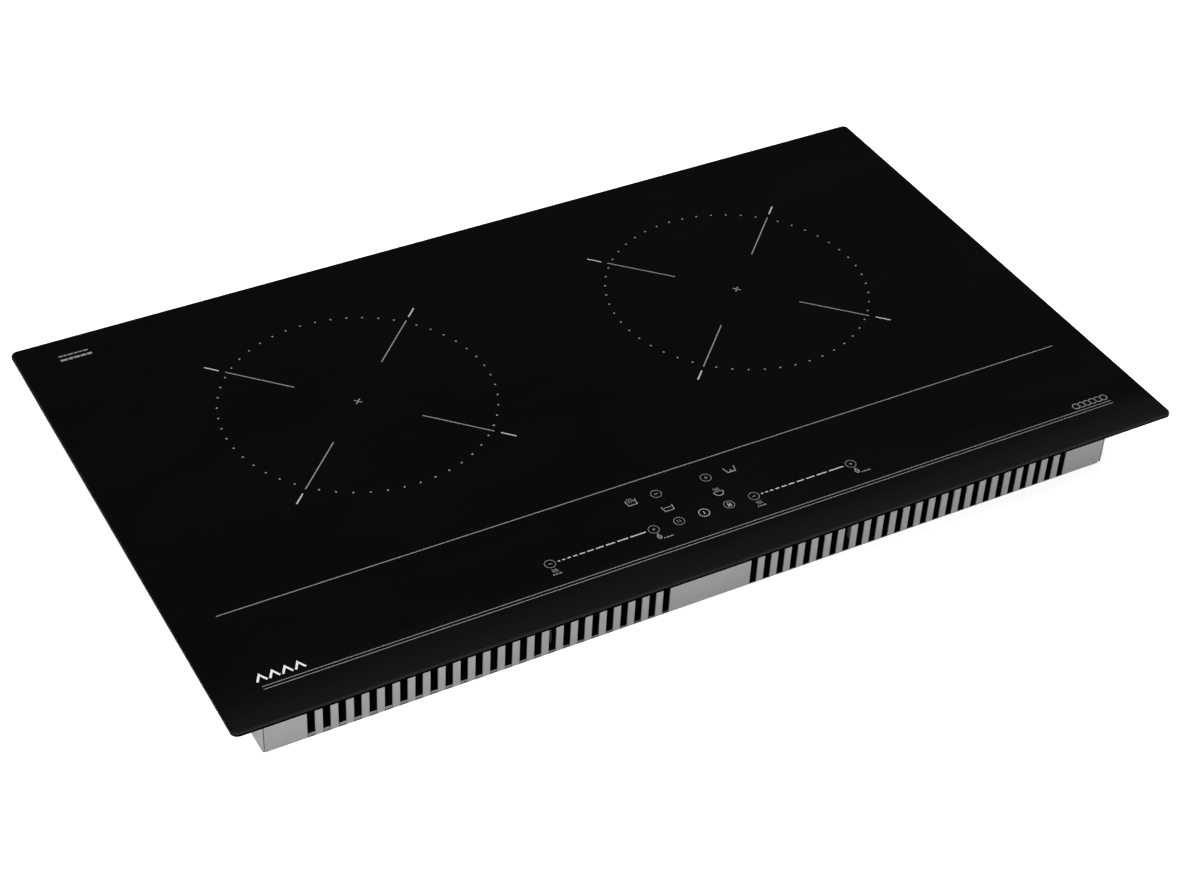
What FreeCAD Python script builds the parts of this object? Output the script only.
import FreeCAD, Part
import math
import os
import re
import Sketcher
from FreeCAD import Placement, Rotation, Vector

# Built-in induction hob with two cooking zones, in millimetres.
# Origin: under the middle of the casing floor. +X right, +Y to the back, +Z up.

SIZES = {
    # Glass plate
    "glass_width": 730, "glass_depth": 430, "glass_thick": 4, "overall_height": 59,
    "glass_corner": 5, "glass_bevel": 1, "glass_arris": 0.9,
    # Foam seal under the rim
    "seal_inset": 6, "seal_band": 8, "seal_thick": 2.5,
    # Casing
    "casing_width": 670, "casing_depth": 370, "sheet_thick": 0.8, "fold_radius": 1.2,
    "slot_wide": 5.7, "slot_pitch": 11, "slot_count": 25, "slot_low": 1, "slot_high": 42,
    "slot_inner": 32.2, "slot_shift": -1.9,
    "back_slot_count": 14, "back_slot_inner": 90, "back_slot_low": 14,
    "seam_wide": 0.5, "notch_wide": 2.6, "notch_high": 1.6,
    "grille_outer_count": 28, "grille_inner_count": 14, "grille_slot": 3,
    "grille_outer_start": 20, "grille_outer_long": 12, "grille_inner_start": 9,
    "grille_inner_long": 8, "bead_wide": 7, "bead_long": 150, "bead_deep": 0.3,
    "plate_long": 70, "plate_wide": 40, "plate_thick": 0.3,
    "plate_shift_y": -118,
    # Angle strips bonded under the glass, and the screws into them
    "bracket_thick": 0.8, "bracket_leg": 13, "bracket_flange": 14, "bracket_end_gap": 6,
    "side_screw_pitch": 145, "side_screw_up": 47, "side_screw_hole": 1.7,
    "fixing_hole": 2.1, "fixing_pitch": 90, "fixing_up": 28,
    # Worktop clips
    "clip_pitch": 260, "clip_wide": 26, "clip_low": 9, "clip_high": 43, "clip_plate": 1.2,
    "leaf_wide": 20, "leaf_thick": 1, "leaf_axis_out": 2.6, "leaf_axis_up": 12.2,
    # Cooking zones
    "zone_x": 159, "zone_y": 52, "former_radius": 98, "former_hole": 16, "former_low": 41,
    "former_thick": 2, "coil_inner": 22, "coil_outer": 93.2, "coil_turns": 18, "coil_high": 5.5,
    "bar_count": 8, "bar_long": 52, "bar_wide": 14, "bar_high": 4.5, "bar_start": 30,
    "mica_thick": 0.5, "pad_thick": 5.2, "sensor_radius": 7.5, "sensor_stem": 4,
    "buffer_place": 88, "buffer_radius": 5, "buffer_waist": 3.6,
    # Aluminium shelf under the coils
    "deck_width": 656, "deck_depth": 268, "deck_y": 38, "deck_low": 33, "deck_thick": 1,
    "deck_lip": 4, "post_radius": 4, "post_outer_x": 318, "post_inner_x": 78,
    "post_front_y": -85, "post_back_y": 150, "lead_hole_x": 84, "lead_hole_y": -26,
    "lead_hole": 6, "screw_hole": 1.7, "floor_head": 3.2,
    # Power boards
    "board_width": 216, "board_depth": 162, "board_x": 200, "board_y": -27, "board_low": 8,
    "board_thick": 1.6, "board_post": 3, "board_inset": 6,
    "sink_x": 238, "sink_y": -18, "sink_wide": 54, "sink_long": 140, "sink_foot": 3,
    "sink_base_low": 14.6, "sink_base": 3, "sink_top": 30.5, "fin_thick": 1.4,
    "fin_pitch": 4.6, "fin_count": 12, "guide_gap": 1.5, "guide_wall": 1.5, "guide_top": 32,
    "guide_long": 148, "guide_y": -20,
    # Cooling fans
    "fan_x": 215, "fan_y": 108, "fan_radius": 46, "fan_high": 28, "fan_wall": 1.5,
    "fan_intake": 31, "fan_nose": 50, "rotor_radius": 41, "rotor_hub": 17,
    "rotor_low": 4.5, "rotor_high": 22.5, "blade_count": 27, "blade_long": 11,
    "blade_thick": 0.8, "shaft_radius": 1.5, "bush_gap": 0.05,
    # Filter board
    "filter_width": 124, "filter_depth": 96, "filter_y": 64,
    # Terminal box
    "terminal_wide": 96, "terminal_front": 122, "terminal_top": 29, "terminal_wall": 2,
    "terminal_flange": 6, "cover_gap": 0.5, "cover_low": 0.3, "cover_thick": 2,
    "pin_radius": 0.7, "pin_back": 3.3, "pin_up": 1.75, "inlet_x": 20, "inlet_up": 14,
    "inlet_bore": 5.5, "inlet_body": 7.5, "inlet_flange": 9.5,
    # Touch controls
    "touch_width": 264, "touch_depth": 72, "touch_y": -145, "touch_low": 46,
    "touch_wall": 1.5, "touch_rest": 1.5, "key_column": 19.9, "key_radius": 3.6,
}

doc = FreeCAD.newDocument("induction_hob")
sheet = doc.addObject("Spreadsheet::Sheet", "Sizes")
for row, (alias, number) in enumerate(SIZES.items(), 1):
    sheet.set("A%d" % row, alias)
    sheet.set("B%d" % row, str(number))
    sheet.setAlias("B%d" % row, alias)
doc.recompute()

nodes = {}


def cell(alias):
    return float(sheet.get(alias))


def words(text):
    """An expression whose bare aliases are looked up in the sheet."""
    def named(found):
        word = found.group(0)
        return "Sizes." + word if word in SIZES else word
    return re.sub(r"[a-z][a-z_]*", named, str(text))


def bind(item, **sizes):
    for name, text in sizes.items():
        item.setExpression(name, words(text))


def put(item, x, y, z, turn=None):
    if turn is not None:
        item.Placement = Placement(Vector(), turn)
    for letter, text in zip("xyz", (x, y, z)):
        item.setExpression("Placement.Base." + letter, words(text))
    return item


def new(kind, label):
    item = doc.addObject(kind, label)
    item.Label = label
    return item


def node(label, item):
    item.Label = label
    nodes[label] = item
    return item


# ---------------------------------------------------------------- primitives

TO_X = Rotation(Vector(0, 1, 0), 90)
TO_Y = Rotation(Vector(1, 0, 0), -90)


def box(label, long, wide, high, x, y, z):
    """A block centred on x and y, standing on z."""
    item = new("Part::Box", label)
    bind(item, Length=long, Width=wide, Height=high)
    return put(item, "%s - (%s) / 2" % (x, long), "%s - (%s) / 2" % (y, wide), z)


def rod(label, radius, long, x, y, z, turn=None):
    """A cylinder that starts at x, y, z and runs up, or the way turn says."""
    item = new("Part::Cylinder", label)
    bind(item, Radius=radius, Height=long)
    return put(item, x, y, z, turn)


def fuse(label, *items):
    item = new("Part::MultiFuse", label)
    item.Shapes = list(items)
    return item


def group(label, *items):
    item = new("Part::Compound", label)
    item.Links = list(items)
    return item


def cut(label, base, *tools):
    item = new("Part::Cut", label)
    item.Base = base
    item.Tool = tools[0] if len(tools) == 1 else fuse(label + "_tools", *tools)
    return item


def rounded(label, item, radius, chosen):
    """A fillet on the edges that chosen accepts."""
    doc.recompute()
    result = new("Part::Fillet", label)
    result.Base = item
    edges = [k for k, edge in enumerate(item.Shape.Edges, 1) if chosen(edge)]
    result.Edges = [(k, radius, radius) for k in edges]
    return result


def upright(edge):
    ends = [vertex.Point for vertex in edge.Vertexes]
    return len(ends) == 2 and (ends[0] - ends[1]).cross(Vector(0, 0, 1)).Length < 1e-6


# ---------------------------------------------------------------- bodies

pockets = []


def body(label, x="0", y="0", z="0"):
    item = new("PartDesign::Body", label)
    put(item, x, y, z)
    nodes[label] = item
    return item


def origin_part(piece, role):
    return [item for item in piece.Origin.OriginFeatures if item.Role == role][0]


def sketch(piece, name, role="XY_Plane", x="0", y="0", z="0"):
    drawing = piece.newObject("Sketcher::SketchObject", name)
    drawing.AttachmentSupport = [(origin_part(piece, role), "")]
    drawing.MapMode = "FlatFace"
    for letter, text in zip("xyz", (x, y, z)):
        drawing.setExpression("AttachmentOffset.Base." + letter, words(text))
    return drawing


def size_by(drawing, constraint, text):
    index = drawing.addConstraint(constraint)
    drawing.setExpression("Constraints[%d]" % index, words(text))


def rectangle(drawing, width, height, left=None):
    """A rectangle about the sketch's origin, or with its left side at left."""
    first = drawing.GeometryCount
    corners = [Vector(1, -5), Vector(9, -5), Vector(9, 5), Vector(1, 5)]
    for k in range(4):
        drawing.addGeometry(Part.LineSegment(corners[k], corners[(k + 1) % 4]), False)
    for k in range(4):
        drawing.addConstraint(Sketcher.Constraint("Coincident", first + k, 2, first + (k + 1) % 4, 1))
    for k, kind in enumerate(("Horizontal", "Vertical", "Horizontal", "Vertical")):
        drawing.addConstraint(Sketcher.Constraint(kind, first + k))
    size_by(drawing, Sketcher.Constraint("DistanceX", first, 1, first, 2, 8), width)
    size_by(drawing, Sketcher.Constraint("DistanceY", first + 1, 1, first + 1, 2, 10), height)
    if left is None:
        drawing.addConstraint(Sketcher.Constraint("Symmetric", first, 1, first + 1, 2, -1, 1))
    else:
        size_by(drawing, Sketcher.Constraint("DistanceX", -1, 1, first, 1, 1), left)
        size_by(drawing, Sketcher.Constraint("DistanceY", first, 1, -1, 1, 5), "(%s) / 2" % height)


def circle(drawing, radius, x=None, y=None):
    """A circle at the sketch's origin, or at x, y."""
    index = drawing.addGeometry(Part.Circle(Vector(9, 9), Vector(0, 0, 1), 5), False)
    if x is None:
        drawing.addConstraint(Sketcher.Constraint("Coincident", index, 3, -1, 1))
    else:
        size_by(drawing, Sketcher.Constraint("DistanceX", -1, 1, index, 3, 9), x)
        size_by(drawing, Sketcher.Constraint("DistanceY", -1, 1, index, 3, 9), y)
    size_by(drawing, Sketcher.Constraint("Radius", index, 5), radius)


def pad(piece, drawing, long):
    item = piece.newObject("PartDesign::Pad", drawing.Name + "_pad")
    item.Profile = drawing
    bind(item, Length=long)
    return item


def pocket(piece, drawing, deep, back=False):
    """A pocket against the sketch's normal, or along it when back is set."""
    item = piece.newObject("PartDesign::Pocket", drawing.Name + "_pocket")
    item.Profile = drawing
    item.Reversed = back
    bind(item, Length=deep)
    pockets.append(item)
    return item


def row_of(piece, feature, drawing, count, pitch, back=False, axis="H_Axis"):
    item = piece.newObject("PartDesign::LinearPattern", feature.Name + "_row")
    item.Originals = [feature]
    item.Direction = (drawing, [axis])
    item.Reversed = back
    bind(item, Length="(%s) * ((%s) - 1)" % (pitch, count), Occurrences=count)
    piece.Tip = item
    pockets.append(item)
    return item


def ring_of(piece, feature, axis, count):
    item = piece.newObject("PartDesign::PolarPattern", feature.Name + "_ring")
    item.Originals = [feature]
    item.Axis = axis
    item.Angle = 360
    bind(item, Occurrences=count)
    piece.Tip = item
    pockets.append(item)
    return item


def soften(piece, base, kind, size, chosen):
    """A fillet or chamfer on the edges of base that chosen accepts."""
    doc.recompute()
    names = ["Edge%d" % k for k, edge in enumerate(base.Shape.Edges, 1) if chosen(edge)]
    item = piece.newObject("PartDesign::" + kind, base.Name + "_" + kind.lower())
    item.Base = (base, names)
    bind(item, **{"Radius" if kind == "Fillet" else "Size": size})
    return item


def level_at(height):
    def chosen(edge):
        return all(abs(vertex.Z - height) < 1e-6 for vertex in edge.Vertexes)
    return chosen


# ---------------------------------------------------------------- free shapes

def shape_node(label, shape):
    item = new("Part::Feature", label)
    item.Shape = Part.makeCompound(shape if isinstance(shape, list) else [shape])
    item.Placement = Placement()
    nodes[label] = item
    return item


def route(points, bend):
    """A wire of straight runs joined by tangent arcs of radius bend."""
    points = [Vector(*point) for point in points]
    edges = []
    start = points[0]
    for before, here, after in zip(points, points[1:], points[2:]):
        one = (before - here).normalize()
        two = (after - here).normalize()
        half = one.getAngle(two) / 2
        reach = bend / math.tan(half)
        centre = here + (one + two).normalize() * (bend / math.sin(half))
        middle = centre + (here - centre).normalize() * bend
        edges.append(Part.LineSegment(start, here + one * reach).toShape())
        edges.append(Part.Arc(here + one * reach, middle, here + two * reach).toShape())
        start = here + two * reach
    edges.append(Part.LineSegment(start, points[-1]).toShape())
    return Part.Wire(edges)


def swept(wire, profile):
    made = wire.makePipeShell([profile], True, False)
    return made if made.ShapeType == "Solid" else Part.Solid(made)


def tube(points, radius, bend):
    """A round lead, checked against its section times its length."""
    wire = route(points, bend)
    along = Vector(*points[1]) - Vector(*points[0])
    profile = Part.Wire(Part.Circle(Vector(*points[0]), along, radius).toShape())
    made = swept(wire, profile)
    expected = math.pi * radius ** 2 * wire.Length
    assert abs(made.Volume / expected - 1) < 0.02, "a lead's volume is off"
    return made


def at(shape, x, y, z, turn=Rotation()):
    placed = shape.copy()
    placed.Placement = Placement(Vector(x, y, z), turn).multiply(shape.Placement)
    return placed


def pan_screw(head_radius, head_high, shank_radius, shank_long):
    """A cross-recess screw whose head sits on z = 0 and whose shank runs down."""
    curve = (head_radius ** 2 + head_high ** 2) / (2 * head_high)
    dome = Part.makeSphere(curve, Vector(0, 0, head_high - curve))
    head = Part.makeCylinder(head_radius, head_high).common(dome)
    corner = Vector(-head_radius * 0.55, -head_radius * 0.12, head_high * 0.45)
    arm = Part.makeBox(head_radius * 1.1, head_radius * 0.24, head_high, corner)
    cross = arm.fuse(at(arm, 0, 0, 0, Rotation(Vector(0, 0, 1), 90)))
    shank = Part.makeCylinder(shank_radius, shank_long, Vector(0, 0, -shank_long))
    return head.cut(cross).fuse(shank).removeSplitter()


SIDES = {"left": -1, "right": 1}
HALF = {"left": "-1", "right": "1"}
CORNERS = ((-1, -1), (-1, 1), (1, -1), (1, 1))


def pair(label, maker):
    """One node that holds the left and the right one of the same piece."""
    node(label, group(label + "_pair", *[maker(side) for side in SIDES]))


def shape_pair(label, maker):
    shape_node(label, [solid for side in SIDES for solid in maker(side)])


# ---------------------------------------------------------------- outer pieces

def glass_top():
    piece = body("glass_top")
    outline = sketch(piece, "glass_outline", z="overall_height - glass_thick")
    rectangle(outline, "glass_width", "glass_depth")
    plate = pad(piece, outline, "glass_thick")
    corners = soften(piece, plate, "Fillet", "glass_corner", upright)
    top = level_at(cell("overall_height"))
    low = level_at(cell("overall_height") - cell("glass_thick"))
    bevel = soften(piece, corners, "Chamfer", "glass_bevel", top)
    soften(piece, bevel, "Chamfer", "glass_arris", low)


def rim_seal():
    piece = body("rim_seal")
    outline = sketch(piece, "seal_outline", z="overall_height - glass_thick - seal_thick")
    rectangle(outline, "glass_width - 2 * seal_inset", "glass_depth - 2 * seal_inset")
    rectangle(
        outline,
        "glass_width - 2 * seal_inset - 2 * seal_band",
        "glass_depth - 2 * seal_inset - 2 * seal_band",
    )
    pad(piece, outline, "seal_thick")


def casing_slots(piece):
    front = "casing_depth / 2"
    for side, way in HALF.items():
        middle = "%s * (slot_inner + slot_wide / 2) + slot_shift" % way
        height = "(slot_low + slot_high) / 2"
        slot = sketch(piece, "front_slot_" + side, "XZ_Plane", middle, height, front)
        rectangle(slot, "slot_wide", "slot_high - slot_low")
        opened = pocket(piece, slot, "2 * sheet_thick")
        row_of(piece, opened, slot, "slot_count", "slot_pitch", back=side == "left")
        middle = "%s * (back_slot_inner + slot_wide / 2)" % way
        height = "(back_slot_low + slot_high) / 2"
        slot = sketch(piece, "back_slot_" + side, "XZ_Plane", middle, height, "-" + front)
        rectangle(slot, "slot_wide", "slot_high - back_slot_low")
        opened = pocket(piece, slot, "2 * sheet_thick", back=True)
        row_of(piece, opened, slot, "back_slot_count", "slot_pitch", back=side == "left")


def casing_seams(piece):
    """The open seam and the relief notch where the front flap meets each side wall."""
    top = "(overall_height - glass_thick - bracket_thick)"
    for side, way in HALF.items():
        middle = "%s * (casing_width / 2 - sheet_thick - seam_wide / 2)" % way
        height = "(%s + fold_radius) / 2" % top
        seam = sketch(piece, "seam_" + side, "XZ_Plane", middle, height, "casing_depth / 2")
        rectangle(seam, "seam_wide", top + " - fold_radius")
        pocket(piece, seam, "sheet_thick")
        middle = "%s * (casing_width / 2 - notch_wide / 2)" % way
        notch = sketch(piece, "notch_" + side, "XZ_Plane", middle, "notch_high / 2 + 0.01",
                       "casing_depth / 2")
        rectangle(notch, "notch_wide", "notch_high")
        pocket(piece, notch, "2 * sheet_thick")


def casing_floor(piece):
    """Fan grilles, terminal window, stiffening beads and the rating plate's recess."""
    for side, way in HALF.items():
        for ring in ("outer", "inner"):
            slot = sketch(piece, "grille_%s_%s" % (ring, side), x=way + " * fan_x", y="fan_y")
            rectangle(slot, "grille_%s_long" % ring, "grille_slot", "grille_%s_start" % ring)
            opened = pocket(piece, slot, "2 * sheet_thick", back=True)
            ring_of(piece, opened, (slot, ["N_Axis"]), "grille_%s_count" % ring)
    back = "(casing_depth / 2 - sheet_thick - terminal_wall)"
    front = "(terminal_front + terminal_wall)"
    window = sketch(piece, "terminal_window", y="(%s + %s) / 2" % (front, back))
    rectangle(window, "terminal_wide - 2 * terminal_wall", "%s - %s" % (back, front))
    pocket(piece, window, "2 * sheet_thick", back=True)
    for side, way in HALF.items():
        bead = sketch(piece, "bead_" + side, x=way + " * 215", y="-70")
        rectangle(bead, "bead_long", "bead_wide")
        pressed = pocket(piece, bead, "bead_deep", back=True)
        row_of(piece, pressed, bead, "4", "30", axis="V_Axis")
    screws = sketch(piece, "floor_screw_holes")
    post_holes(screws, "floor_head + 0.2")
    pocket(piece, screws, "2 * sheet_thick", back=True)
    recess = sketch(piece, "plate_recess", y="plate_shift_y")
    rectangle(recess, "plate_long + 0.4", "plate_wide + 0.4")
    pocket(piece, recess, "plate_thick", back=True)


def casing_holes(piece):
    """Holes in the side walls, and the cable inlet's hole in the back wall."""
    rows = (
        ("side_screw", "side_screw_hole", "-side_screw_pitch", "side_screw_up", "3",
         "side_screw_pitch"),
        ("fixing", "fixing_hole", "-fixing_pitch / 2", "fixing_up", "2", "fixing_pitch"),
        ("clip_screw", "fixing_hole", "-clip_pitch / 2", "fixing_up", "2", "clip_pitch"),
    )
    for name, radius, along, up, count, pitch in rows:
        hole = sketch(piece, name + "_hole", "YZ_Plane", along, up)
        circle(hole, radius)
        drilled = pocket(piece, hole, "casing_width + 10")
        drilled.Midplane = True
        row_of(piece, drilled, hole, count, pitch)
    inlet = sketch(piece, "inlet_hole", "XZ_Plane", "inlet_x", "inlet_up", "-casing_depth / 2")
    circle(inlet, "inlet_body + 0.1")
    pocket(piece, inlet, "2 * sheet_thick", back=True)


def post_places():
    for way in SIDES.values():
        for column in ("post_outer_x", "post_inner_x"):
            for row in ("post_front_y", "post_back_y"):
                yield way * cell(column), cell(row)


def post_holes(drawing, radius):
    """One circle over each shelf post."""
    for way in HALF.values():
        for column in ("post_outer_x", "post_inner_x"):
            for row in ("post_front_y", "post_back_y"):
                circle(drawing, radius, "%s * %s" % (way, column), row)


def base_casing():
    piece = body("base_casing")
    outline = sketch(piece, "casing_outline")
    rectangle(outline, "casing_width", "casing_depth")
    block = pad(piece, outline, "overall_height - glass_thick - bracket_thick")
    soften(piece, block, "Fillet", "fold_radius", level_at(0))
    hollow = sketch(piece, "casing_hollow", z="overall_height - glass_thick - bracket_thick")
    rectangle(hollow, "casing_width - 2 * sheet_thick", "casing_depth - 2 * sheet_thick")
    pocket(piece, hollow, "overall_height - glass_thick - bracket_thick - sheet_thick")
    casing_holes(piece)
    casing_floor(piece)
    casing_seams(piece)
    casing_slots(piece)


def glass_brackets():
    """Angle strips: a leg inside each casing wall and a flange bonded to the glass."""
    under = "overall_height - glass_thick"
    strips = []
    for side, way in HALF.items():
        leg_x = "%s * (casing_width / 2 - sheet_thick - bracket_thick / 2)" % way
        flange_x = "%s * (casing_width / 2 - sheet_thick - bracket_thick + bracket_flange / 2)" % way
        long = "casing_depth - 2 * sheet_thick - 2 * bracket_end_gap"
        leg = box("side_leg_" + side, "bracket_thick", long, "bracket_leg", leg_x, "0",
                  under + " - bracket_leg")
        flange = box("side_flange_" + side, "bracket_flange", long, "bracket_thick", flange_x, "0",
                     under + " - bracket_thick")
        strip = fuse("side_strip_" + side, leg, flange)
        drills = []
        for k in (-1, 0, 1):
            start = "%s * casing_width / 2 - 5" % way
            drills.append(rod("side_drill_%s_%d" % (side, k + 1), "side_screw_hole", "10", start,
                              "%d * side_screw_pitch" % k, "side_screw_up", TO_X))
        strips.append(cut("side_bracket_" + side, strip, *drills))
    for end, way in (("front", "-1"), ("back", "1")):
        leg_y = "%s * (casing_depth / 2 - sheet_thick - bracket_thick / 2)" % way
        flange_y = "%s * (casing_depth / 2 - sheet_thick - bracket_thick + bracket_flange / 2)" % way
        long = "casing_width - 2 * sheet_thick - 2 * bracket_flange"
        leg = box("end_leg_" + end, long, "bracket_thick", "bracket_leg", "0", leg_y,
                  under + " - bracket_leg")
        flange = box("end_flange_" + end, long, "bracket_flange", "bracket_thick", "0", flange_y,
                     under + " - bracket_thick")
        strips.append(fuse("end_bracket_" + end, leg, flange))
    node("glass_brackets", group("bracket_group", *strips))


def casing_screws():
    """Three screws through each side wall into the bracket behind it."""
    screw = pan_screw(3.4, 2, 1.5, 5)
    wall = cell("casing_width") / 2
    made = []
    for way in SIDES.values():
        for k in (-1, 0, 1):
            made.append(at(screw, way * wall, k * cell("side_screw_pitch"), cell("side_screw_up"),
                           Rotation(Vector(0, 1, 0), 90 * way)))
    shape_node("casing_screws", made)


def rating_plate():
    node("rating_plate", box("rating_blank", "plate_long", "plate_wide", "plate_thick", "0",
                             "plate_shift_y", "0"))


# ---------------------------------------------------------------- worktop clips

def clip_bases():
    """Four spring-steel backs, each with a curled lip under the leaf's root."""
    backs = []
    for side, way in HALF.items():
        for end, along in (("front", "-1"), ("back", "1")):
            y = "%s * clip_pitch / 2" % along
            wall = "%s * (casing_width / 2 + clip_plate / 2)" % way
            plate = box("clip_plate_%s_%s" % (side, end), "clip_plate", "clip_wide",
                        "clip_high - clip_low", wall, y, "clip_low")
            lip_x = "%s * (casing_width / 2 + clip_plate + 1.1)" % way
            lip = box("clip_lip_%s_%s" % (side, end), "2.2", "clip_wide", "1.2", lip_x, y, "clip_low")
            hole = rod("clip_drill_%s_%s" % (side, end), "fixing_hole", "10",
                       "%s * casing_width / 2 - 5" % way, y, "fixing_up", TO_X)
            bent = fuse("clip_bent_%s_%s" % (side, end), plate, lip)
            backs.append(cut("clip_back_%s_%s" % (side, end), bent, hole))
    node("clip_bases", group("clip_group", *backs))


def clip_screws():
    screw = pan_screw(3.6, 1.4, 1.8, 6)
    wall = cell("casing_width") / 2 + cell("clip_plate")
    made = []
    for way in SIDES.values():
        for along in (-1, 1):
            made.append(at(screw, way * wall, along * cell("clip_pitch") / 2, cell("fixing_up"),
                           Rotation(Vector(0, 1, 0), 90 * way)))
    shape_node("clip_screws", made)


def clip_leaf(side, end):
    """A bent leaf that leans out from its root, with its widest line near the top."""
    way = SIDES[side]
    along = -1 if end == "front" else 1
    root_x = cell("casing_width") / 2 + cell("leaf_axis_out")
    root_z = cell("leaf_axis_up")
    wide = cell("leaf_wide")
    thick = cell("leaf_thick")
    spine = [(root_x, root_z), (root_x + 5.2, root_z + 20), (root_x + 5.2, root_z + 23),
             (root_x + 4.3, root_z + 29)]
    outline = [Vector(x, 0, z) for x, z in spine]
    outline += [Vector(x + thick, 0, z + 0.2) for x, z in reversed(spine)]
    face = Part.Face(Part.makePolygon(outline + outline[:1]))
    strip = face.extrude(Vector(0, wide, 0))
    roll = Part.makeCylinder(thick, wide, Vector(root_x, 0, root_z), Vector(0, 1, 0))
    window = Part.makeBox(20, 9, 12, Vector(root_x - 5, (wide - 9) / 2, root_z + 4.5))
    leaf = strip.fuse(roll).cut(window).removeSplitter()
    if way < 0:
        leaf = leaf.mirror(Vector(), Vector(1, 0, 0))
    leaf.translate(Vector(0, along * cell("clip_pitch") / 2 - wide / 2, 0))
    shape_node("clip_leaf_%s_%s" % (side, end), leaf)


# ---------------------------------------------------------------- coils

def coil_deck():
    piece = body("coil_deck")
    outline = sketch(piece, "deck_outline", y="deck_y", z="deck_low")
    rectangle(outline, "deck_width", "deck_depth")
    pad(piece, outline, "deck_thick")
    for end, way in (("front", "-1"), ("back", "1")):
        place = "deck_y + %s * (deck_depth - deck_thick) / 2" % way
        lip = sketch(piece, "deck_lip_" + end, y=place, z="deck_low - deck_lip")
        rectangle(lip, "deck_width", "deck_thick")
        pad(piece, lip, "deck_lip")
    holes = sketch(piece, "deck_holes", z="deck_low + deck_thick")
    post_holes(holes, "screw_hole")
    for way in HALF.values():
        circle(holes, "sensor_stem + 1", way + " * zone_x", "zone_y")
        circle(holes, "lead_hole", way + " * lead_hole_x", "lead_hole_y")
    pocket(piece, holes, "2 * deck_thick")


def deck_posts():
    posts = []
    for k, (x, y) in enumerate(post_places()):
        post = rod("post_%d" % k, "post_radius", "deck_low - sheet_thick", x, y, "sheet_thick")
        bore = rod("post_bore_%d" % k, "1.6", "deck_low", x, y, "sheet_thick")
        posts.append(cut("deck_post_%d" % k, post, bore))
    return posts


def deck_screws():
    screw = pan_screw(3.2, 1.8, 1.5, 9)
    top = cell("deck_low") + cell("deck_thick")
    made = [at(screw, x, y, top) for x, y in post_places()]
    shape_node("deck_screws", made)


def floor_screws():
    """Flat-headed screws, flush with the underside, up into the shelf posts."""
    sheet_thick = cell("sheet_thick")
    head = Part.makeCylinder(cell("floor_head"), sheet_thick)
    arm = Part.makeBox(3.6, 0.8, 0.4, Vector(-1.8, -0.4, 0))
    cross = arm.fuse(at(arm, 0, 0, 0, Rotation(Vector(0, 0, 1), 90)))
    shank = Part.makeCylinder(1.5, 9, Vector(0, 0, sheet_thick))
    screw = head.cut(cross).fuse(shank)
    made = [at(screw, x, y, 0) for x, y in post_places()]
    shape_node("floor_screws", made)


def coil_former(side):
    """Moulded disc with a low rim, and ribs that fence the ferrite bars below it."""
    piece = body("coil_former_" + side, HALF[side] + " * zone_x", "zone_y", "former_low")
    disc = sketch(piece, "former_disc_" + side)
    circle(disc, "former_radius")
    circle(disc, "former_hole")
    pad(piece, disc, "former_thick")
    rim = sketch(piece, "former_rim_" + side, z="former_thick")
    circle(rim, "former_radius")
    circle(rim, "former_radius - 2")
    pad(piece, rim, "1.4")
    rib = sketch(piece, "former_rib_" + side, z="-bar_high")
    rectangle(rib, "bar_long", "1.2", "bar_start")
    standing = pad(piece, rib, "bar_high")
    ring_of(piece, standing, (origin_part(piece, "Z_Axis"), [""]), "bar_count")


def coil_winding(side):
    """Flat spiral of stranded wire, as rings that touch: one scalloped section turned round."""
    low = cell("former_low") + cell("former_thick")
    inner, outer, high = cell("coil_inner"), cell("coil_outer"), cell("coil_high")
    turns = int(cell("coil_turns"))
    pitch = (outer - inner) / turns
    shoulder = high * 0.72
    edges = []
    for k in range(turns):
        start = inner + k * pitch
        edges.append(Part.Arc(Vector(start, 0, shoulder), Vector(start + pitch / 2, 0, high),
                              Vector(start + pitch, 0, shoulder)).toShape())
    corners = [Vector(outer, 0, shoulder), Vector(outer, 0, 0), Vector(inner, 0, 0),
               Vector(inner, 0, shoulder)]
    for one, two in zip(corners, corners[1:]):
        edges.append(Part.LineSegment(one, two).toShape())
    face = Part.Face(Part.Wire(edges))
    solid = face.revolve(Vector(), Vector(0, 0, 1), 360)
    solid.translate(Vector(SIDES[side] * cell("zone_x"), cell("zone_y"), low))
    shape_node("coil_winding_" + side, solid)


def ferrite_bars(side):
    """Flat bars under the former, one between each two of its ribs."""
    count = int(cell("bar_count"))
    corner = Vector(cell("bar_start"), -cell("bar_wide") / 2, 0)
    bar = Part.makeBox(cell("bar_long"), cell("bar_wide"), cell("bar_high"), corner)
    made = []
    for k in range(count):
        turn = Rotation(Vector(0, 0, 1), (k + 0.5) * 360 / count)
        made.append(at(bar, SIDES[side] * cell("zone_x"), cell("zone_y"),
                       cell("former_low") - cell("bar_high"), turn))
    return made


def holed_disc(name, side, radius, thick, low):
    """A disc over the coil, clear of the sensor in its middle."""
    x = HALF[side] + " * zone_x"
    disc = rod("%s_disc_%s" % (name, side), radius, thick, x, "zone_y", low)
    hole = rod("%s_hole_%s" % (name, side), "sensor_radius + 1", "20", x, "zone_y", "former_low")
    return cut("%s_cut_%s" % (name, side), disc, hole)


def mica_disc(side):
    low = "former_low + former_thick + coil_high + 0.2"
    return holed_disc("mica", side, "former_radius - 1", "mica_thick", low)


def insulation_pad(side):
    low = "former_low + former_thick + coil_high + 0.2 + mica_thick"
    return holed_disc("pad", side, "former_radius", "pad_thick", low)


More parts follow.
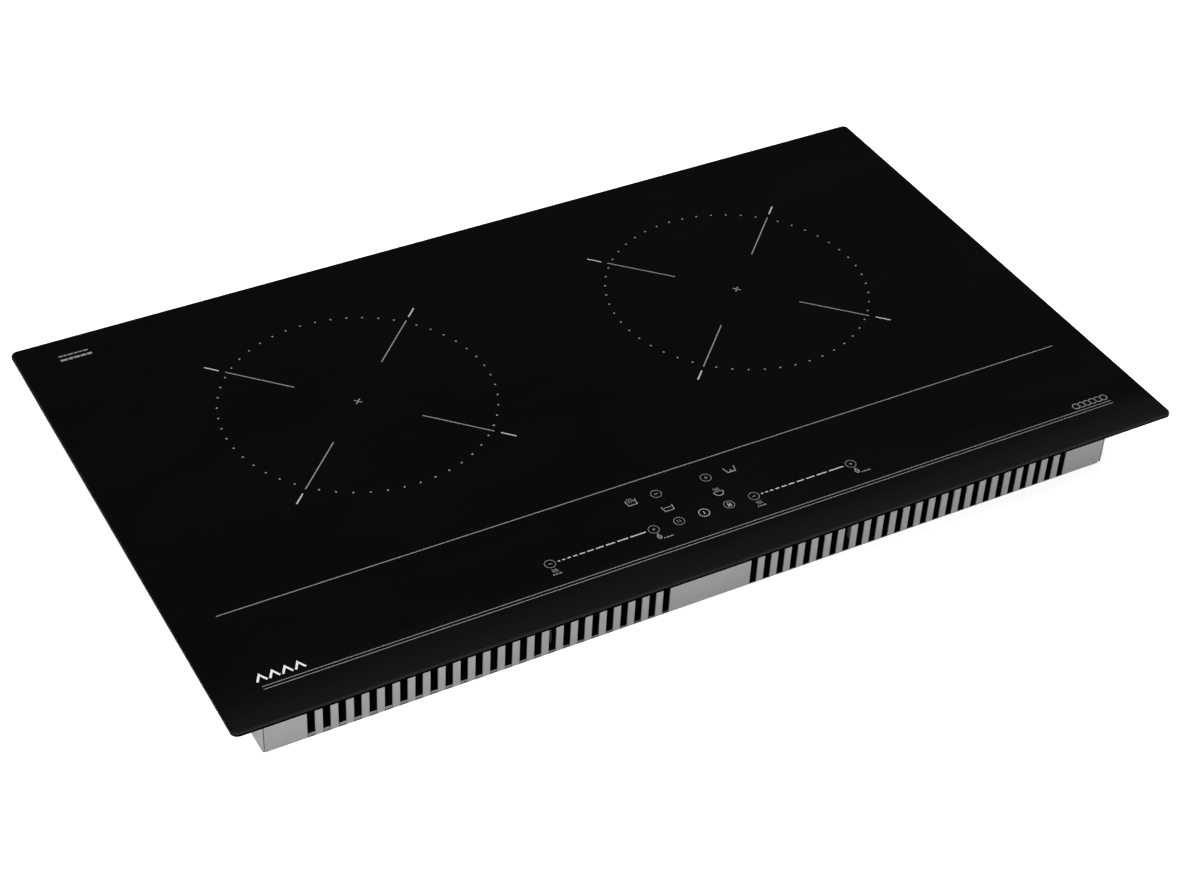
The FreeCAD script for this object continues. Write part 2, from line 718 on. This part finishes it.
def glass_sensor(side):
    """Rubber-headed sensor that stands on the shelf and touches the glass."""
    x = HALF[side] + " * zone_x"
    under = "overall_height - glass_thick"
    head = rod("sensor_head_" + side, "sensor_radius", "5", x, "zone_y", under + " - 5")
    stem = rod("sensor_rod_" + side, "sensor_stem", under + " - 5 - deck_low", x, "zone_y", "deck_low")
    return fuse("sensor_" + side, head, stem)


def coil_buffers(side):
    """Three waisted rubber buffers that press the coil up against the glass."""
    low = cell("deck_low") + cell("deck_thick")
    high = cell("former_low") - low
    radius, waist = cell("buffer_radius"), cell("buffer_waist")
    rim = [Vector(0, 0, high), Vector(0, 0, 0), Vector(radius, 0, 0), Vector(radius, 0, high)]
    edges = [Part.LineSegment(rim[0], rim[1]).toShape(), Part.LineSegment(rim[1], rim[2]).toShape(),
             Part.Arc(rim[2], Vector(waist, 0, high / 2), rim[3]).toShape(),
             Part.LineSegment(rim[3], rim[0]).toShape()]
    buffer = Part.Face(Part.Wire(edges)).revolve(Vector(), Vector(0, 0, 1), 360)
    made = []
    for angle in (0, 135, 225):
        bearing = math.radians(angle)
        x = SIDES[side] * cell("zone_x") + cell("buffer_place") * math.cos(bearing)
        y = cell("zone_y") + cell("buffer_place") * math.sin(bearing)
        made.append(at(buffer, x, y, low))
    return made


def coil_leads(side):
    """Two leads from the coil's rim, down through the shelf and onto the power board."""
    way = SIDES[side]
    hole_x, hole_y = cell("lead_hole_x"), cell("lead_hole_y")
    up = cell("former_low") + cell("former_thick") + 3.1
    down = cell("board_low") + cell("board_thick") + 3
    made = []
    for shift in (-2.2, 2.2):
        slant = shift / math.sqrt(2)
        points = [
            (way * (hole_x + 9.4 - slant), hole_y + 9.4 + slant, up),
            (way * (hole_x - slant), hole_y + slant, up),
            (way * (hole_x - slant), hole_y + slant, down),
            (way * (hole_x + 22 - slant), hole_y - 22 + slant, down),
        ]
        made.append(tube(points, 1.3, 5))
    return made


# ---------------------------------------------------------------- power boards

def board_corners(x, y, width, depth):
    inset = cell("board_inset")
    for way_x, way_y in CORNERS:
        yield x + way_x * (width / 2 - inset), y + way_y * (depth / 2 - inset)


def all_board_corners():
    places = []
    for way in SIDES.values():
        places += board_corners(way * cell("board_x"), cell("board_y"), cell("board_width"),
                                cell("board_depth"))
    places += board_corners(0, cell("filter_y"), cell("filter_width"), cell("filter_depth"))
    return places


def circuit_board(label, width, depth, x, y):
    """A board with a screw hole near each corner."""
    piece = body(label, x, y, "board_low")
    outline = sketch(piece, label + "_outline")
    rectangle(outline, width, depth)
    pad(piece, outline, "board_thick")
    holes = sketch(piece, label + "_holes", z="board_thick")
    for way_x, way_y in CORNERS:
        circle(holes, "screw_hole", "%d * (%s / 2 - board_inset)" % (way_x, width),
               "%d * (%s / 2 - board_inset)" % (way_y, depth))
    pocket(piece, holes, "2 * board_thick")


def board_posts():
    posts = []
    for k, (x, y) in enumerate(all_board_corners()):
        post = rod("board_pillar_%d" % k, "board_post", "board_low - sheet_thick", x, y, "sheet_thick")
        bore = rod("board_bore_%d" % k, "1.6", "board_low", x, y, "sheet_thick + 1")
        posts.append(cut("board_post_%d" % k, post, bore))
    return posts


def board_screws():
    screw = pan_screw(2.8, 1.6, 1.5, 6)
    top = cell("board_low") + cell("board_thick")
    made = [at(screw, x, y, top) for x, y in all_board_corners()]
    shape_node("board_screws", made)


def heat_sink(side):
    """Extruded aluminium: two feet, a base and a row of fins."""
    piece = body("heat_sink_" + side, HALF[side] + " * sink_x", "sink_y", "board_low + board_thick")
    board_top = "(board_low + board_thick)"
    base = sketch(piece, "sink_base_" + side, z="sink_base_low - " + board_top)
    rectangle(base, "sink_wide", "sink_long")
    pad(piece, base, "sink_base")
    for name, way in (("a", "-1"), ("b", "1")):
        foot = sketch(piece, "sink_foot_%s_%s" % (name, side),
                      x=way + " * (sink_wide - sink_foot) / 2")
        rectangle(foot, "sink_foot", "sink_long")
        pad(piece, foot, "sink_base_low - " + board_top)
    fin = sketch(piece, "sink_fin_" + side, x="-fin_pitch * (fin_count - 1) / 2",
                 z="sink_base_low + sink_base - " + board_top)
    rectangle(fin, "fin_thick", "sink_long")
    first = pad(piece, fin, "sink_top - sink_base_low - sink_base")
    row_of(piece, first, fin, "fin_count", "fin_pitch")


def power_transistors(side):
    """Two switches and a bridge rectifier, flat on the board under the heat sink."""
    x = HALF[side] + " * sink_x"
    high = "sink_base_low - board_low - board_thick - 0.2"
    sizes = (("16", "21", -50), ("16", "21", 0), ("30", "20", 40))
    made = []
    for k, (wide, long, shift) in enumerate(sizes):
        made.append(box("package_%s_%d" % (side, k), wide, long, high, x,
                        "sink_y + (%d)" % shift, "board_low + board_thick"))
    return group("package_group_" + side, *made)


def air_guide(side):
    """Plastic hood that leads the fan's air over the heat sink."""
    x = HALF[side] + " * sink_x"
    low = "board_low + board_thick"
    inside = "(sink_wide + 2 * guide_gap)"
    outer = box("guide_outer_" + side, inside + " + 2 * guide_wall", "guide_long",
                "guide_top - board_low - board_thick", x, "guide_y", low)
    inner = box("guide_inner_" + side, inside, "guide_long + 10",
                "guide_top - guide_wall - board_low - board_thick + 5", x, "guide_y", low + " - 5")
    return cut("guide_" + side, outer, inner)


def board_capacitors(side):
    """Film capacitors: boxes with rounded upright edges."""
    low = "board_low + board_thick"
    made = []
    for k, (long, wide, high, y) in enumerate(((42, 18, 22, 32), (42, 18, 22, 6), (42, 30, 20, -28))):
        block = box("film_%s_%d" % (side, k), long, wide, high, HALF[side] + " * 150", y, low)
        made.append(rounded("film_round_%s_%d" % (side, k), block, 1.5, upright))
    return group("film_group_" + side, *made)


# ---------------------------------------------------------------- fans

def fan_housing(side):
    """Snail housing: open below for the intake and to the front for the outlet."""
    way = HALF[side]
    x = way + " * fan_x"
    nose_x = "%s * (fan_x + fan_radius / 2)" % way
    nose_y = "fan_y - fan_nose / 2"
    low = "sheet_thick"
    drum = rod("fan_drum_" + side, "fan_radius", "fan_high", x, "fan_y", low)
    nose = box("fan_nose_" + side, "fan_radius", "fan_nose", "fan_high", nose_x, nose_y, low)
    shell = fuse("fan_shell_" + side, drum, nose)
    room = rod("fan_room_" + side, "fan_radius - fan_wall", "fan_high - 2 * fan_wall", x, "fan_y",
               low + " + fan_wall")
    mouth = box("fan_mouth_" + side, "fan_radius - 2 * fan_wall", "fan_nose + 4",
                "fan_high - 2 * fan_wall", nose_x, nose_y + " - 2", low + " + fan_wall")
    intake = rod("fan_intake_hole_" + side, "fan_intake", "10", x, "fan_y", low + " - 5")
    node("fan_housing_" + side, cut("fan_case_" + side, shell, room, mouth, intake))


def fan_stator(side):
    """Motor mount and bush under the housing's roof, with the wound core round it."""
    x = HALF[side] + " * fan_x"
    roof = "(sheet_thick + fan_high - fan_wall)"
    mount = rod("stator_mount_" + side, "13", "1.5", x, "fan_y", roof + " - 1.5")
    bush = rod("stator_bush_" + side, "3", roof + " - 1.5 - 9", x, "fan_y", "9")
    bore = rod("stator_bore_" + side, "shaft_radius + bush_gap", "30", x, "fan_y", "1")
    core = rod("stator_core_" + side, "12", "8", x, "fan_y", "12")
    post = fuse("stator_post_" + side, mount, bush)
    slots = []
    for k in range(6):
        slot = new("Part::Box", "stator_slot_%s_%d" % (side, k))
        bind(slot, Length="5", Width="2", Height="10")
        angle = math.radians(60 * k)
        put(slot, "%s + %f" % (x, 8 * math.cos(angle)), "fan_y + %f" % (8 * math.sin(angle)), "11",
            Rotation(Vector(0, 0, 1), 60 * k))
        slots.append(slot)
    wound = cut("stator_wound_" + side, fuse("stator_whole_" + side, post, core), bore, *slots)
    return wound


def fan_shaft(side):
    node("fan_shaft_" + side, rod("shaft_" + side, "shaft_radius", "17", HALF[side] + " * fan_x",
                                  "fan_y", "rotor_low + 2"))


def fan_rotor(side):
    """Hub cup over the motor, a carrier ring, blades and a lower ring."""
    piece = body("fan_rotor_" + side, HALF[side] + " * fan_x", "fan_y", "0")
    high = "rotor_high - rotor_low"
    floor = sketch(piece, "rotor_floor_" + side, z="rotor_low")
    circle(floor, "rotor_hub")
    pad(piece, floor, "2")
    wall = sketch(piece, "rotor_wall_" + side, z="rotor_low")
    circle(wall, "rotor_hub")
    circle(wall, "rotor_hub - 2")
    pad(piece, wall, high)
    carrier = sketch(piece, "rotor_carrier_" + side, z="rotor_high - 1.5")
    circle(carrier, "rotor_radius")
    circle(carrier, "rotor_hub - 1")
    pad(piece, carrier, "1.5")
    blade = sketch(piece, "rotor_blade_" + side, z="rotor_low")
    rectangle(blade, "blade_long - 1", "blade_thick", "rotor_radius - blade_long")
    first = pad(piece, blade, high)
    ring_of(piece, first, (origin_part(piece, "Z_Axis"), [""]), "blade_count")
    lower = sketch(piece, "rotor_lower_" + side, z="rotor_low")
    circle(lower, "rotor_radius")
    circle(lower, "rotor_radius - 2.5")
    pad(piece, lower, "1.5")


# ---------------------------------------------------------------- filter board

def filter_parts():
    low = "board_low + board_thick"
    choke = new("Part::Torus", "choke_core")
    bind(choke, Radius1="13", Radius2="6")
    put(choke, "-30", "44", low + " + 6")
    node("filter_choke", choke)
    relays = []
    caps = []
    for k, x in enumerate((14, 40)):
        relays.append(rounded("relay_round_%d" % k,
                              box("relay_%d" % k, "16", "28", "15.5", x, "88", low), 1, upright))
    for k, (x, y, long) in enumerate(((12, 56, 12), (30, 56, 12), (46, 50, 10))):
        caps.append(rounded("filter_film_round_%d" % k,
                            box("filter_film_%d" % k, long, "26", "18", x, y, low), 1, upright))
    node("relays", group("relay_group", *relays))
    node("filter_capacitors", group("filter_film_group", *caps))
    node("fuse", rod("fuse_body", "3", "22", "-42", "76", low + " + 3.5", TO_X))
    node("buzzer", rod("buzzer_case", "6", "7", "40", "26", low))


def ribbon_cable():
    """Flat ribbon from the touch board, down in front of the shelf and back under it."""
    up = cell("touch_low") + cell("touch_wall") + 0.75
    down = cell("board_low") + cell("board_thick") + 4
    turn_y = cell("deck_y") - cell("deck_depth") / 2 - 6.5
    front = cell("touch_y") + cell("touch_depth") / 2 - 14
    plug_y = cell("filter_y") - cell("filter_depth") / 2 + 8
    points = [(0, front, up), (0, turn_y, up), (0, turn_y, down), (0, plug_y, down)]
    wire = route(points, 4)
    corners = [Vector(x, front, up + z) for x, z in ((-8, -0.4), (8, -0.4), (8, 0.4), (-8, 0.4))]
    ribbon = swept(wire, Part.makePolygon(corners + corners[:1]))
    plug = Part.makeBox(20, 6, 8, Vector(-10, plug_y, cell("board_low") + cell("board_thick")))
    shape_node("ribbon_cable", [ribbon, plug])


def mains_leads():
    """Three leads from the terminal block, through the box's front wall, to the filter board."""
    up = cell("terminal_top") - cell("terminal_wall") - 5
    down = cell("board_low") + cell("board_thick") + 3
    front = cell("terminal_front")
    made = []
    for x in (-32, -22, -12):
        points = [(x, front + 20, up), (x, front - 6, up), (x, front - 6, down), (x, front - 20, down)]
        made.append(tube(points, 1.4, 3))
    shape_node("mains_leads", made)


# ---------------------------------------------------------------- terminal box

def terminal_box():
    """Moulded box, open below, on the inside of the back wall."""
    back = "(casing_depth / 2 - sheet_thick)"
    deep = "(%s - terminal_front)" % back
    middle = "(%s + terminal_front) / 2" % back
    low = "sheet_thick"
    outer = box("terminal_outer", "terminal_wide", deep, "terminal_top - sheet_thick", "0", middle, low)
    flange = box("terminal_foot", "terminal_wide + 2 * terminal_flange", deep + " + terminal_flange",
                 "2", "0", middle + " - terminal_flange / 2", low)
    inner = box("terminal_room", "terminal_wide - 2 * terminal_wall", deep + " - 2 * terminal_wall",
                "terminal_top - terminal_wall - sheet_thick + 5", "0", middle, low + " - 5")
    hinge = rod("terminal_hinge_hole", "pin_radius + bush_gap", "terminal_wide + 30",
                "-terminal_wide / 2 - 15", "terminal_front + terminal_wall + pin_back", "pin_up", TO_X)
    inlet = rod("terminal_inlet_hole", "inlet_body + 0.1", "10", "inlet_x",
                "casing_depth / 2 - 8", "inlet_up", TO_Y)
    holes = [hinge, inlet]
    for k, x in enumerate((-32, -22, -12)):
        holes.append(rod("terminal_lead_hole_%d" % k, "1.6", "10", x, "terminal_front - 4",
                         "terminal_top - terminal_wall - 5", TO_Y))
    shell = cut("terminal_shell", fuse("terminal_solid", outer, flange), inner, *holes)
    bosses = []
    for name, way in (("a", "-1"), ("b", "1")):
        x = "inlet_x + %s * 11" % way
        boss = rod("clamp_boss_" + name, "3.5", "terminal_top - terminal_wall - 9.5", x, "168", "9.5")
        pilot = rod("clamp_pilot_" + name, "1.6", "14", x, "168", "8")
        bosses.append(cut("clamp_post_" + name, boss, pilot))
    node("terminal_box", fuse("terminal_moulding", shell, *bosses))


def terminal_cover():
    """Flush cover on two hinge pins; its outer face has a rib pattern and a finger notch."""
    front = "(terminal_front + terminal_wall + cover_gap)"
    back = "(casing_depth / 2 - sheet_thick - terminal_wall - cover_gap)"
    deep = "(%s - %s)" % (back, front)
    wide = "(terminal_wide - 2 * terminal_wall - 2 * cover_gap)"
    plate = box("cover_plate", wide, deep, "cover_thick", "0", "(%s + %s) / 2" % (front, back),
                "cover_low")
    pins = rod("cover_pins", "pin_radius", "terminal_wide - 1", "-terminal_wide / 2 + 0.5",
               "terminal_front + terminal_wall + pin_back", "pin_up", TO_X)
    notch = box("cover_notch", "16", "5", "1.2", "0", back + " - 4", "cover_low - 0.2")
    node("terminal_cover", cut("cover_cut", fuse("cover_solid", plate, pins), notch))


def terminal_block():
    """Block of five clamps under the box's roof, with a brass screw in each."""
    high = 9
    low = cell("terminal_top") - cell("terminal_wall") - high
    holes = []
    screws = []
    for k in range(5):
        x = -38 + 9 * k
        holes.append(rod("clamp_well_%d" % k, "2.8", "5", x, "150", low - 1))
        screws.append(rod("clamp_head_%d" % k, "2.4", "3", x, "150", low + 1))
    block = box("clamp_block", "46", "16", high, "-20", "150", low)
    node("terminal_block", cut("clamp_block_cut", block, *holes))
    node("terminal_screws", group("clamp_screw_group", *screws))


def cord_inlet():
    """Cable bushing in the back wall, and the clamp bar and screws behind it."""
    back = "casing_depth / 2"
    inside = back + " - sheet_thick - terminal_wall"
    body_rod = rod("bushing_body", "inlet_body", "sheet_thick + terminal_wall", "inlet_x", inside,
                   "inlet_up", TO_Y)
    outer = rod("bushing_outer", "inlet_flange", "3", "inlet_x", back, "inlet_up", TO_Y)
    inner = rod("bushing_inner", "inlet_flange - 0.5", "2", "inlet_x", inside + " - 2", "inlet_up", TO_Y)
    bore = rod("bushing_bore", "inlet_bore", "30", "inlet_x", back + " - 15", "inlet_up", TO_Y)
    node("cord_bushing", cut("bushing_cut", fuse("bushing_solid", body_rod, outer, inner), bore))
    bar = box("clamp_bar", "30", "9", "4.5", "inlet_x", "168", "4.9")
    saddle = rod("clamp_saddle", "5.5", "20", "inlet_x", "158", "inlet_up", TO_Y)
    drills = []
    for name, way in (("a", "-1"), ("b", "1")):
        drills.append(rod("clamp_drill_" + name, "1.7", "8", "inlet_x + %s * 11" % way, "168", "3"))
    node("cord_clamp", cut("clamp_bar_cut", bar, saddle, *drills))
    screw = pan_screw(3, 1.7, 1.5, 14)
    turn = Rotation(Vector(1, 0, 0), 180)
    made = [at(screw, cell("inlet_x") + 11 * way, 168, 4.9, turn) for way in (-1, 1)]
    shape_node("clamp_screws", made)


# ---------------------------------------------------------------- touch controls

def touch_holder():
    """Tray on four legs that holds the touch board up against the glass."""
    top = "overall_height - glass_thick - 0.3"
    outer = box("holder_outer", "touch_width", "touch_depth", top + " - touch_low", "0", "touch_y",
                "touch_low")
    inner = box("holder_inner", "touch_width - 2 * touch_wall", "touch_depth - 2 * touch_wall", "20",
                "0", "touch_y", "touch_low + touch_wall")
    gate = box("holder_gate", "18", "10", "20", "0", "touch_y + touch_depth / 2",
               "touch_low + touch_wall - 0.1")
    tray = cut("holder_tray", outer, inner, gate)
    legs = []
    for k, (way_x, way_y) in enumerate(CORNERS):
        x = "%d * (touch_width / 2 - 9)" % way_x
        y = "touch_y + %d * (touch_depth / 2 - 8)" % way_y
        legs.append(rod("holder_leg_%d" % k, "3.5", "touch_low - sheet_thick", x, y, "sheet_thick"))
        legs.append(rod("holder_rest_%d" % k, "3", "touch_rest", x, y, "touch_low + touch_wall"))
    node("touch_holder", fuse("holder_solid", tray, *legs))


def touch_parts():
    board_low = "touch_low + touch_wall + touch_rest"
    board_top = board_low + " + board_thick"
    node("touch_board", box("touch_board_blank", "touch_width - 2 * touch_wall - 1",
                            "touch_depth - 2 * touch_wall - 1", "board_thick", "0", "touch_y", board_low))
    springs = []
    keys = [(k, -162.2) for k in (-6, -2, -1, 0, 1, 2, 6)] + [(-1, -130.7), (1, -130.7)]
    for k, (column, y) in enumerate(keys):
        x = "%d * key_column" % column
        outer = rod("key_outer_%d" % k, "key_radius", "4.1", x, y, board_top)
        inner = rod("key_inner_%d" % k, "key_radius - 0.8", "10", x, y, board_top + " - 1")
        springs.append(cut("key_%d" % k, outer, inner))
    node("touch_springs", group("key_group", *springs))
    digits = []
    for k, x in enumerate((-80, 0, 80)):
        digits.append(box("digit_%d" % k, "13", "10", "3.6", x, "-146", board_top))
    node("digit_displays", group("digit_group", *digits))


# ---------------------------------------------------------------- assembly

glass_top()
rim_seal()
base_casing()
glass_brackets()
casing_screws()
rating_plate()
clip_bases()
clip_screws()
coil_deck()
node("standoffs", group("standoff_group", *deck_posts(), *board_posts()))
deck_screws()
floor_screws()
for side in SIDES:
    clip_leaf(side, "front")
    clip_leaf(side, "back")
    coil_former(side)
    coil_winding(side)
    circuit_board("power_board_" + side, "board_width", "board_depth", HALF[side] + " * board_x",
                  "board_y")
    heat_sink(side)
    fan_housing(side)
    fan_shaft(side)
    fan_rotor(side)
shape_pair("ferrite_bars", ferrite_bars)
shape_pair("coil_buffers", coil_buffers)
shape_pair("coil_leads", coil_leads)
pair("mica_discs", mica_disc)
pair("insulation_pads", insulation_pad)
pair("glass_sensors", glass_sensor)
pair("power_transistors", power_transistors)
pair("board_capacitors", board_capacitors)
pair("air_guides", air_guide)
pair("fan_stators", fan_stator)
circuit_board("filter_board", "filter_width", "filter_depth", "0", "filter_y")
board_screws()
filter_parts()
ribbon_cable()
mains_leads()
terminal_box()
terminal_cover()
terminal_block()
cord_inlet()
touch_holder()
touch_parts()
doc.recompute()

# ---------------------------------------------------------------- checks and export

for item in doc.Objects:
    bad = [state for state in item.State if state in ("Invalid", "Error")]
    assert not bad, "%s is %s" % (item.Label, bad)

for feature in pockets:
    before = feature.BaseFeature.Shape.Volume if feature.BaseFeature else 0
    assert abs(before - feature.Shape.Volume) > 1e-3, feature.Name + " changed nothing"

os.makedirs("parts", exist_ok=True)
for label, item in nodes.items():
    shape = item.Shape
    assert not shape.isNull() and shape.isValid() and shape.Solids, label + " is not a sound solid"
    assert shape.Volume > 0, label + " is inside out"
    shape.exportStep("parts/%s.step" % label)
print(len(nodes), "nodes written")
